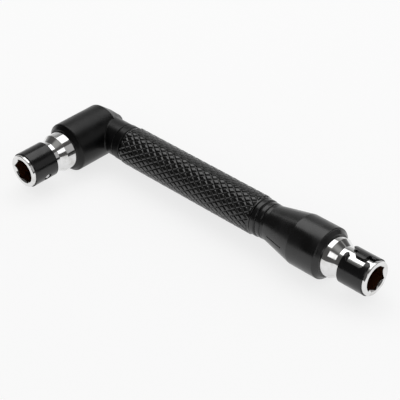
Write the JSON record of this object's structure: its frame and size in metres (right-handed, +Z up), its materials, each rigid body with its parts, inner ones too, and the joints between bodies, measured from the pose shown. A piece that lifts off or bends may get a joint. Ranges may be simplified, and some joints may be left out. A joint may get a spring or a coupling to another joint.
{
  "type": "offset screwdriver",
  "caption": "L-shaped offset bit driver with a hexagon bit socket in line with its knurled handle and another at right angles, each with a spring-sleeve detent and a magnet.",
  "frame": {"origin": "bottom centre of the tool's box as it lies flat on its two round housings", "axes": "+X along the handle towards the straight socket, -Y along the short arm towards the offset socket, +Z up"},
  "size_m": [0.1082, 0.0364, 0.0144],
  "materials": {
    "shell": "satin black moulding",
    "grip": "satin black, raised all over in a fine diamond texture",
    "chrome": "bright plated",
    "black_spring": "glossy black spring steel",
    "steel": "plain ground steel",
    "magnet": "nickel-plated magnet"
  },
  "bodies": {
    "tool": {"offset_head": "shell", "rear_collar": "shell", "grip_sleeve": "grip", "front_collar": "shell", "nose_housing": "shell", "handle_core": "shell", "core_rod": "steel", "head_pin": "steel", "nose_pin": "steel", "straight_socket": "chrome", "offset_socket": "chrome", "straight_spring_sleeve": "black_spring", "offset_spring_sleeve": "black_spring", "straight_magnet": "magnet", "offset_magnet": "magnet"},
    "straight_ball": {"straight_detent_ball": "steel"},
    "offset_ball": {"offset_detent_ball": "steel"}
  },
  "joints": [
    {"name": "straight_detent", "type": "slide", "parent": "tool", "child": "straight_ball", "axis": [0, -0.3256, -0.9455], "range_m": [0, 0.0006], "stiffness_N_per_m": 2000, "springref_m": -0.0002, "deforming": ["straight_spring_sleeve"]},
    {"name": "offset_detent", "type": "slide", "parent": "tool", "child": "offset_ball", "axis": [0.8829, 0, -0.4695], "range_m": [0, 0.0006], "stiffness_N_per_m": 2000, "springref_m": -0.0002, "deforming": ["offset_spring_sleeve"]}
  ]
}
